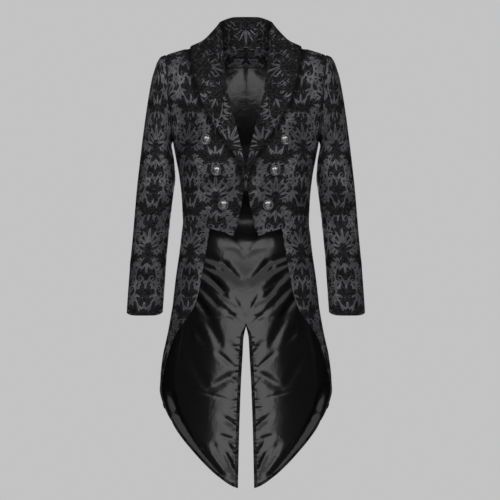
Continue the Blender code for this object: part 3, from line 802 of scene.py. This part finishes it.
def put_values(mesh, name, values):
    """Keeps a value at each point of the mesh, for its material to read."""
    layer = mesh.attributes.new(name, "FLOAT", "POINT")
    layer.data.foreach_set("value", values.reshape(-1))


def declare_sheet(piece, outer, wrap):
    """Attaches the cloth to the root and hides the frame's node that it stands for. Its flat size is worked
    out but not used.
    """
    node_name, kind = piece.name.rsplit("_", 1)
    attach(piece, "root")
    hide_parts(node_name)
    size = [float(lengths_along(outer, axis).max()) * MM for axis in (1, 0)]
    if wrap:
        size[0] += float(np.linalg.norm(outer[:, 0] - outer[:, -1], axis=-1).max()) * MM


def add_cloth(name, outer, inner, wrap=False, figure=None, paint_edge_shade=False,
              inside=None, bare=None, groove_and_painted_shadow=0.0, hem=0.0):
    """A sheet of two grids of points, given for the right side, sewn shut at its edges."""
    if "_left_" in name:
        outer, inner = outer * (-1, 1, 1), inner * (-1, 1, 1)
    faces, count = cloth_faces(*outer.shape[:2], wrap)
    if faces_in(outer, inner):
        faces = faces[:, ::-1]
    mesh = bpy.data.meshes.new(name)
    points = np.concatenate([outer.reshape(-1, 3), inner.reshape(-1, 3)]) * MM
    mesh.from_pydata(points.tolist(), [], faces.tolist())
    face = KINDS[name.split("_")[-1]][1]
    mesh.materials.append(face)
    mesh.materials.append(inside or face)
    slots = np.zeros(len(faces), np.int32)
    slots[count:2 * count] = 1 if bare is None else 1 - bare[:-1, :-1].reshape(-1)
    mesh.polygons.foreach_set("material_index", slots)
    mesh.set_sharp_from_angle(angle=math.radians(62))
    if figure is not None:
        # The "turned" value: painted shadow under the collar's and lapels' edges on the outer layer, the
        # darkened hem on the inner layer, and painted shade along turned edges.
        turned = np.zeros((2, *outer.shape[:2]))
        turned[0], turned[1] = groove_and_painted_shadow, hem
        # Painted shade: the last two columns of a turned edge are darkened nearly to black.
        if paint_edge_shade:
            turned[:, :, -2:] = 1
        put_values(mesh, "damask", np.stack([figure, figure]))
        put_values(mesh, "turned", turned)
    piece = bpy.data.objects.new(name, mesh)
    bpy.context.scene.collection.objects.link(piece)
    declare_sheet(piece, outer, wrap)


def seam_dip(grid, top=0.0, bottom=0.0, inner=0.0, outer=0.0, width=4.5):
    """How far the cloth is pulled in at each edge that is sewn."""
    across, down = lengths_along(grid, 1), lengths_along(grid, 0)
    return (inner * np.exp(-across / width) + outer * np.exp((across - across[:, -1:]) / width)
            + top * np.exp(-down / width) + bottom * np.exp((down - down[-1:]) / width))


def under_edges(grid, side):
    """1 right under the outer edges of the collar and lapels, falling to 0 a few mm away from them; it
    grooves the cloth and paints their shadow into its colour.
    """
    edge = np.concatenate([lapel_grid(STEP)[:, -1], collar_grid(STEP)[:, -1]])
    edge = edge[edge[:, 1] < 20] if side == "front" else edge[edge[:, 1] > -20]
    away = np.min([np.hypot(grid[..., 0] - x, grid[..., 2] - z) for x, _, z in edge], axis=0)
    return np.minimum(2.0 * np.exp(-(away / 10) ** 2), 1)


def bare_inside(name, grid):
    """Where the inside shows the brocade itself, at the back of the neck and at the hems past the lining."""
    z, down = grid[..., 2], lengths_along(grid, 0)
    # 4 mm more than the lining is set back, so that the satin's edge lies on brocade.
    bare = SATIN_EDGE + 4
    beside_edge = lengths_along(grid, 1) < bare
    if name == "skirt":
        return beside_edge
    return (beside_edge & (z < VENT[0, 0] + 12)) | (down[-1:] - down < bare) | (z > FACING_FOOT)


def add_panel(name, grid, side, start=0.0, groove_and_painted_shadow=0.0):
    """A brocade panel on one side of the coat, creased, with its figure woven in."""
    wrap = name == "sleeve"
    height = crease_height(grid, CREASES[name], side, wrapped_place(grid) if wrap else None)
    # A crease dies out over 11 mm at the seam beside it, so that both panels meet.
    along = lengths_along(grid, 0) if wrap else lengths_along(grid, 1)[:, -1:] - lengths_along(grid, 1)
    height *= 1 - np.exp(-(along / 11) ** 2)
    # The groove under the edges of collar and lapels; the same value is painted shadow in the cloth's
    # colour, through add_cloth.
    height = height + seam_dip(grid, **SEAM_DIPS[name]) + 2.5 * groove_and_painted_shadow
    creased = grid - normals(grid, wrap) * height[..., None]
    inner = creased - normals(creased, wrap) * WALL
    across, down = sleeve_place(grid) if wrap else cloth_place(grid, start)
    # The brocade's own hem is darkened inside, where its lining is set back from the edge.
    hem = 0.8 * (grid[..., 2] < FACING_FOOT)
    bare = bare_inside(name, grid) if name in ("skirt", "back") else None
    add_cloth(f"{name}_{side}_cloth", creased, inner, wrap=wrap, figure=damask_at(across, down),
              inside=SATIN, bare=bare, groove_and_painted_shadow=groove_and_painted_shadow, hem=hem)


def wrapped_place(grid):
    """Place on a sleeve: mm round from the outer line towards the front, and height."""
    turn = np.linspace(0, 360, grid.shape[1], endpoint=False)
    turn = np.where(turn > 180, turn - 360, turn)
    return np.broadcast_to(-turn, grid.shape[:2]) * 1.05, grid[..., 2]


def sleeve_place(grid):
    """Where each point of a sleeve lies on its cloth: round from its front line, and down."""
    x, y, z = grid[..., 0], grid[..., 1], grid[..., 2]
    outer = through(z, SLEEVE[:, [1, 0]])
    inner = np.where(z > CHEST, arm_plane_x(z), through(z, SLEEVE[:, [3, 2]]))
    depth, reach = through(z, SLEEVE[:, [1, 4]]), through(z, SLEEVE[:, [1, 5]])
    half = np.maximum((outer - inner) / 2, 1)
    quarter = 0.8 * (half + depth)
    round_front = np.arcsin(np.clip((x - (outer + inner) / 2) / half, -1, 1)) * 2 / np.pi * quarter
    return np.where(y < -reach - 0.01, round_front, 2 * quarter - round_front), -z


def tucked_head(grid):
    """The sleeve with its head's seam allowance, turned in under the body by 7 mm."""
    ring = grid[0]
    inward = unit(ring.mean(0) - ring)
    # 3.2 mm in, clear of the body's wall.
    allowance = [ring + inward * 3.2 - (reach, 0, 0) for reach in (7.0, 1.5)]
    return np.concatenate([allowance, grid])


def closed_centre(grid):
    """The grid with its centre seam shut, where it isn't the neck or the vent."""
    grid = grid.copy()
    grid[grid[:, 0, 0] < 0.5, 0, 0] = 0
    return grid


def add_brocade_panels():
    """Fronts, skirts, back and sleeves, on both sides."""
    front, back, skirt = front_grid(STEP), closed_centre(back_grid(STEP)), skirt_grid(STEP)
    sleeve = tucked_head(sleeve_grid(STEP))
    front_start, back_start = (np.maximum(grid[:, :1, 0], 0) for grid in (front, back))
    skirt_start = np.hypot(skirt[:, :1, 0], 0.4 * skirt[:, :1, 1])
    # Painted shadow and groove under the edges of collar and lapels.
    groove_and_shadow_front, groove_and_shadow_back = under_edges(front, "front"), under_edges(back, "back")
    for side in SIDES:
        add_panel("front", front, side, front_start, groove_and_shadow_front)
        add_panel("skirt", skirt, side, skirt_start)
        add_panel("back", back, side, back_start, groove_and_shadow_back)
        add_panel("sleeve", sleeve, side)


def facing_out(grid, sign):
    """Normals of an open grid, on the side where y has this sign near its outer edge."""
    out = unit(np.cross(np.gradient(grid, axis=0), np.gradient(grid, axis=1)))
    return out if out[len(grid) // 2, -3, 1] * sign > 0 else -out


def turned_edge(grid, out):
    """The grid with its outer edge turned in towards the coat."""
    grid = grid.copy()
    grid[:, -1] -= out[:, -1] * 1.2
    grid[:, -2] -= out[:, -2] * 0.3
    return grid


def tucked_stand(grid):
    """The collar with the edge of its stand turned down inside the back of the neck."""
    share = np.clip((grid[:, :1, 1:2] + 5) / 20, 0.15, 1)
    inward = unit(grid[:, :1] * (-1, -1, 0))
    return np.concatenate([grid[:, :1] + share * (2.3 * inward - (0, 0, 5)), grid], 1)


def add_collar():
    """The collar in one piece, its fall 4.8 mm clear of the coat."""
    half = collar_grid(STEP)
    fall = sum(COLLAR_STEPS[:3])
    half[:, fall:] = clear_of_coat(half[:, fall:], 4.8)
    half = tucked_stand(half)
    grid = np.concatenate([half[:0:-1] * (-1, 1, 1), half])
    out = facing_out(grid, 1)
    around = lengths_along(grid, 0)
    grid = turned_edge(grid, out)
    # The figure is set out from the centre back, and drawn 1.2 mm finer at its edges, which darkens the
    # collar as painted shade.
    figure = damask_at(around - around[len(half) - 1], lengths_along(grid, 1) - 60) + 1.2
    add_cloth("collar_cloth", grid, grid - out * WALL, figure=figure, paint_edge_shade=True)


def add_lapels():
    """The lapels. Their cloth lies along the roll, so the figure leans."""
    lapel = lapel_grid(STEP)
    out = facing_out(lapel, -1)
    lapel = turned_edge(lapel, out)
    along, down = lengths_along(lapel, 1) + lapel[:, :1, 0], -lapel[..., 2]
    cosine, sine = math.cos(math.radians(24)), math.sin(math.radians(24))
    # The figure is drawn 0.8 mm finer at its edges, which darkens the lapels as painted shade.
    figure = damask_at(along * cosine - down * sine + 64, along * sine + down * cosine) + 0.8
    for side in SIDES:
        add_cloth(f"lapel_{side}_cloth", lapel, lapel - out * LAPEL_WALL, figure=figure, paint_edge_shade=True)


def add_linings():
    """The satin of back and skirts, set back from the free edges and the facing's foot."""
    back = back_grid(SATIN_STEP, lining=True)
    from_armhole = 0.1 + 34.0 * np.clip((back[:, -1, 2] - CHEST + 90) / 90, 0, 1)
    from_vent = SATIN_EDGE * np.clip((-716 - back[:, 0, 2]) / 30, 0, 1)
    back = closed_centre(trimmed(back, 0, SATIN_EDGE, from_vent, from_armhole))
    skirt = trimmed(skirt_grid(SATIN_STEP), 3, 4, SATIN_EDGE, 0.1)
    for side in SIDES:
        for name, grid in (("back", back), ("skirt", skirt)):
            out = normals(grid)
            lift = WALL + LINING_GAP + lining_folds(grid, side)[..., None]
            add_cloth(f"{name}_lining_{side}_satin", grid - out * lift, grid - out * (lift + THIN))


def lining_folds(grid, side):
    """The satin's folds: deep ones from the frame's solids, finer ones between them, and the neck pleat."""
    folds = np.column_stack([LINING_FOLDS * (1, 1, 1, 1, 0.75, 0.55), np.full(len(LINING_FOLDS), 0.9)])
    height = crease_height(grid, folds, side) + crease_height(grid, FINE_FOLDS, side)
    x, z = grid[..., 0], grid[..., 2]
    # Fullness under the facing, parted by the pleat.
    fullness = 8.0 * np.clip((z + 215) / 165, 0, 1) ** 1.35
    height += fullness * (1.0 - 0.08 * np.exp(-(x / 3.6) ** 2)) * np.exp(-(x / 90) ** 4)
    # The satin bridges the hollow of the waist, lowest at the centre, and comes back to the cloth far below.
    low = 14 * np.exp(-(x / 45) ** 2)
    waist = np.clip(np.minimum((-438 - low - z) / 62, (z + 690) / (185 - low)), 0, 1)
    height += 11.0 * waist * waist * (3 - 2 * waist) * np.exp(-(x / 150) ** 4)
    # Puckers along the vent.
    from_vent = x - through(z, VENT) - SATIN_EDGE
    puckers = np.sin(z / 2.9) + 0.7 * np.sin(z / 1.75 + 1.3) + 0.5 * np.sin(z / 5.3)
    height += 0.7 * puckers * np.exp(-(from_vent / 9) ** 2) * (z < VENT[0, 0])
    return np.maximum(height, -0.3) * (grid[..., 1] > 30)


def facing_grid(step):
    """The inside of the back just under the neck, as far as it shows."""
    rows = neck_rows(int(240 / step), int(60 / step), False)
    # It ends where the neck seam comes down to its level foot.
    wide = int(np.argmax(rows[0, :, 2] - rows[-1, :, 2] < 6))
    return closed_centre(trimmed(rows[:, :wide], 3, 0.5))


def on_grid(grid, x, z):
    """The point of a grid at this x and height."""
    line = np.array([[np.interp(abs(x), row[:, 0], row[:, k]) for k in (1, 2)] for row in grid])
    return x, np.interp(-z, -line[:, 1], line[:, 0]), z


def add_facing_and_label():
    """The damask facing inside the back of the neck, with its figure drawn fuller, which lightens it as
    painted light, and the label on it.
    """
    facing = facing_grid(STEP)
    out = normals(facing)
    # The figure is drawn 1.6 mm fuller, which lightens the facing where the collar shades it: painted light.
    figure = damask_at(lengths_along(facing, 1), -facing[..., 2]) - 1.6
    outer, inner = (facing - out * (WALL + FACING_GAP + wall) for wall in (0, FACING_WALL))
    for side in SIDES:
        add_cloth(f"neck_facing_{side}_cloth", outer, inner, figure=figure)
    half_x, half_z = LABEL_SIZE[0] / 2, LABEL_SIZE[1] / 2
    heights = np.linspace(LABEL_HEIGHT + half_z, LABEL_HEIGHT - half_z, 9)
    grid = np.array([[on_grid(facing, x, z) for x in np.linspace(-half_x, half_x, 31)] for z in heights])
    out = normals(grid)
    outer, inner = (grid - out * (WALL + LABEL_GAP + wall) for wall in (0, LABEL_WALL))
    add_cloth("label_tape", outer, inner)


def pick_faces(piece, wanted):
    """Selects the faces for which wanted(centre, normal) holds."""
    bpy.ops.object.mode_set(mode="OBJECT")
    for face in piece.data.polygons:
        face.select = bool(wanted(face.center / MM, face.normal))
    bpy.ops.object.mode_set(mode="EDIT")


def turn_share(centre, count):
    """How far round a face lies in its own repeat of this many, from 0 to 1."""
    return math.atan2(centre[1], centre[0]) / (2 * math.pi) * count % 1


def on_rope(centre, normal):
    reach = math.hypot(centre[0], centre[1])
    return 11.9 < reach < 13.2 and normal[2] > 0.6 and turn_share(centre, 32) < 0.5


def on_petal(centre, normal):
    reach = math.hypot(centre[0], centre[1])
    return 3.2 < reach < 9.0 and normal[2] > 0.2 and centre[2] > 2.4 and turn_share(centre, 8) < 0.72


def on_boss(centre, normal):
    return math.hypot(centre[0], centre[1]) < 2.4 and normal[2] > 0.5


# Inset and rise of each step of the button in from its rim, in mm.
BUTTON_STEPS = [
    (0.5, 0.6), (1.1, 0.1), (0.6, -0.8), (0.7, -0.1), (0.5, 0.7), (1.6, 1.5), (1.8, 1.2), (1.8, 0.8),
    (1.6, 0.4), (1.2, 0.1),
]
# Its face without rope, petals and boss: distance from the centre, height.
BUTTON_SKIN = ([0, 3, 6, 9, 10.4, 11.2, 12.2, 13.6], [7.6, 7.0, 5.6, 3.9, 2.4, 2.3, 3.2, 2.5])


def button_model():
    """A cast button: a rope rim, a sunk ring and a dome with eight petals round a boss."""
    bpy.ops.object.select_all(action="DESELECT")
    bpy.ops.mesh.primitive_circle_add(vertices=64, radius=12.6 * MM, fill_type="NGON")
    piece = bpy.context.object
    bpy.ops.object.mode_set(mode="EDIT")
    bpy.ops.mesh.select_all(action="SELECT")
    bpy.ops.mesh.extrude_region_move(TRANSFORM_OT_translate={"value": (0, 0, 1.2 * MM)})
    bpy.ops.transform.resize(value=(13.6 / 12.6, 13.6 / 12.6, 1))
    bpy.ops.mesh.extrude_region_move(TRANSFORM_OT_translate={"value": (0, 0, 1.3 * MM)})
    for inset, rise in BUTTON_STEPS:
        bpy.ops.mesh.inset(thickness=inset * MM, depth=rise * MM)
    bpy.ops.mesh.merge(type="CENTER")
    for wanted, inset, rise in ((on_rope, 0.15, 0.4), (on_petal, 0.35, 0.7), (on_boss, 0.3, 0.8)):
        pick_faces(piece, wanted)
        bpy.ops.mesh.inset(thickness=inset * MM, depth=rise * MM)
    bpy.ops.mesh.select_all(action="SELECT")
    bpy.ops.mesh.remove_doubles(threshold=1e-6)
    bpy.ops.mesh.normals_make_consistent()
    bpy.ops.object.mode_set(mode="OBJECT")
    bpy.ops.object.shade_smooth_by_angle(angle=math.radians(35))
    points = np.array([v.co for v in piece.data.vertices]) / MM
    skin = np.interp(np.hypot(points[:, 0], points[:, 1]), *BUTTON_SKIN)
    put_values(piece.data, "hollow", np.clip((skin - points[:, 2] + 0.1) / 0.7, 0, 1))
    piece.data.materials.append(SILVER)
    return piece


def lay_flat(piece, x, z):
    """Sets a button on the coat at this place, turned as the coat is there."""
    half, reach = abs(x), 8.0
    side_slope = (skin_y(half + reach, z) - skin_y(half - reach, z)) / (2 * reach) * (1 if x > 0 else -1)
    rise_slope = (skin_y(half, z + reach) - skin_y(half, z - reach)) / (2 * reach)
    facing = np.array([side_slope, -1, rise_slope])
    facing /= np.linalg.norm(facing)
    piece.rotation_euler = (math.acos(facing[2]), 0, math.atan2(facing[1], facing[0]) + math.pi / 2)
    piece.location = ((np.array([x, skin_y(half, z), z]) + 0.4 * facing) * MM).tolist()
    bpy.ops.object.select_all(action="DESELECT")
    piece.select_set(True)
    bpy.context.view_layer.objects.active = piece
    bpy.ops.object.transform_apply(location=True, rotation=True, scale=True)


def add_buttons():
    """Six copies of one modelled button, each with its own mesh."""
    model = button_model()
    for name, half, z in BUTTONS:
        for side, x in (("right", half), ("left", -half)):
            piece = bpy.data.objects.new(f"{name}_{side}_metal", model.data.copy())
            bpy.context.scene.collection.objects.link(piece)
            lay_flat(piece, x, z)
            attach(piece, "root")
            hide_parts(f"{name}_{side}")
    bpy.data.objects.remove(model)


# The camera, in metres: how wide it sees at the coat, how far off it stands, and its place.
VIEW_WIDTH, VIEW_DISTANCE = 1.28, 4.0
VIEW_X, VIEW_Z = 0.0105, -0.525
# Lamps: name, place, where it points, width and height in metres, and power in watts.
LAMPS = [
    ("low_front_lamp", (0, -3.3, -1.9), (0, 0, -1.9), (2.2, 2.4), 18.8),
    ("left_key_lamp", (-1.3, -2.4, 1.25), (0, 0, -0.5), (0.8, 0.8), 34),
    ("right_key_lamp", (1.3, -2.4, 1.25), (0, 0, -0.5), (0.8, 0.8), 34),
    ("fill_lamp", (0, -3.0, 1.9), (0, 0, -0.5), (2.6, 0.9), 18),
    ("back_lamp", (0, 3.3, 0.2), (0, 0, -0.6), (2.2, 2.2), 34),
]


def add_lamp(name, place, aim, size, power):
    """A soft rectangular lamp, which lights and is mirrored but isn't itself in the picture."""
    lamp = bpy.data.objects.new(name, bpy.data.lights.new(name, "AREA"))
    lamp.data.shape = "RECTANGLE"
    lamp.data.size, lamp.data.size_y = size
    lamp.data.energy = power
    lamp.location = place
    lamp.visible_camera = False
    towards = np.array(aim) - place
    lamp.rotation_euler = (math.acos(-towards[2] / np.linalg.norm(towards)), 0,
                           math.atan2(towards[1], towards[0]) - math.pi / 2)
    bpy.context.scene.collection.objects.link(lamp)


def add_floor():
    """A round pale floor under the coat, which hangs above it from its wearer's shoulders."""
    turn = np.linspace(0, 2 * math.pi, 96, endpoint=False)
    points = np.stack([1.2 * np.cos(turn), 1.2 * np.sin(turn), np.full(96, -1.45)], -1)
    mesh = bpy.data.meshes.new("floor")
    mesh.from_pydata(points.tolist(), [], [tuple(range(96))])
    paper, _ = new_material("pale grey paper", {
        "Base Color": linear("b4b4b4"), "Roughness": 0.9, "Specular IOR Level": 0.1,
        "Emission Color": linear("c3c3c3"), "Emission Strength": 0.4})
    mesh.materials.append(paper)
    floor = bpy.data.objects.new("floor", mesh)
    bpy.context.scene.collection.objects.link(floor)


def add_world():
    """Pale grey air behind the coat, and a dim room for it to mirror."""
    world = bpy.data.worlds.new("studio air")
    world.use_nodes = True
    room = world.node_tree.nodes["Background"]
    fill(world, room, {"Color": linear("c3c3c3"), "Strength": 0.06})
    seen = add_node(world, "Background", {"Color": linear("c3c3c3"), "Strength": 1.0})
    ray = add_node(world, "LightPath").outputs["Is Camera Ray"]
    both = add_node(world, "MixShader", {0: ray, 1: room.outputs[0], 2: seen.outputs[0]})
    fill(world, world.node_tree.nodes["World Output"], {"Surface": both.outputs[0]})
    bpy.context.scene.world = world


def add_studio():
    """The floor, the air, the lamps and the camera."""
    scene = bpy.context.scene
    scene.view_settings.view_transform = "Standard"
    camera = bpy.data.objects.new("camera", bpy.data.cameras.new("camera"))
    camera.data.lens = camera.data.sensor_width * VIEW_DISTANCE / VIEW_WIDTH
    camera.location = (VIEW_X, -VIEW_DISTANCE, VIEW_Z)
    camera.rotation_euler = (math.pi / 2, 0, 0)
    scene.collection.objects.link(camera)
    scene.camera = camera
    add_floor()
    add_world()
    for lamp in LAMPS:
        add_lamp(*lamp)


add_studio()
add_brocade_panels()
add_collar()
add_lapels()
add_linings()
add_facing_and_label()
add_buttons()
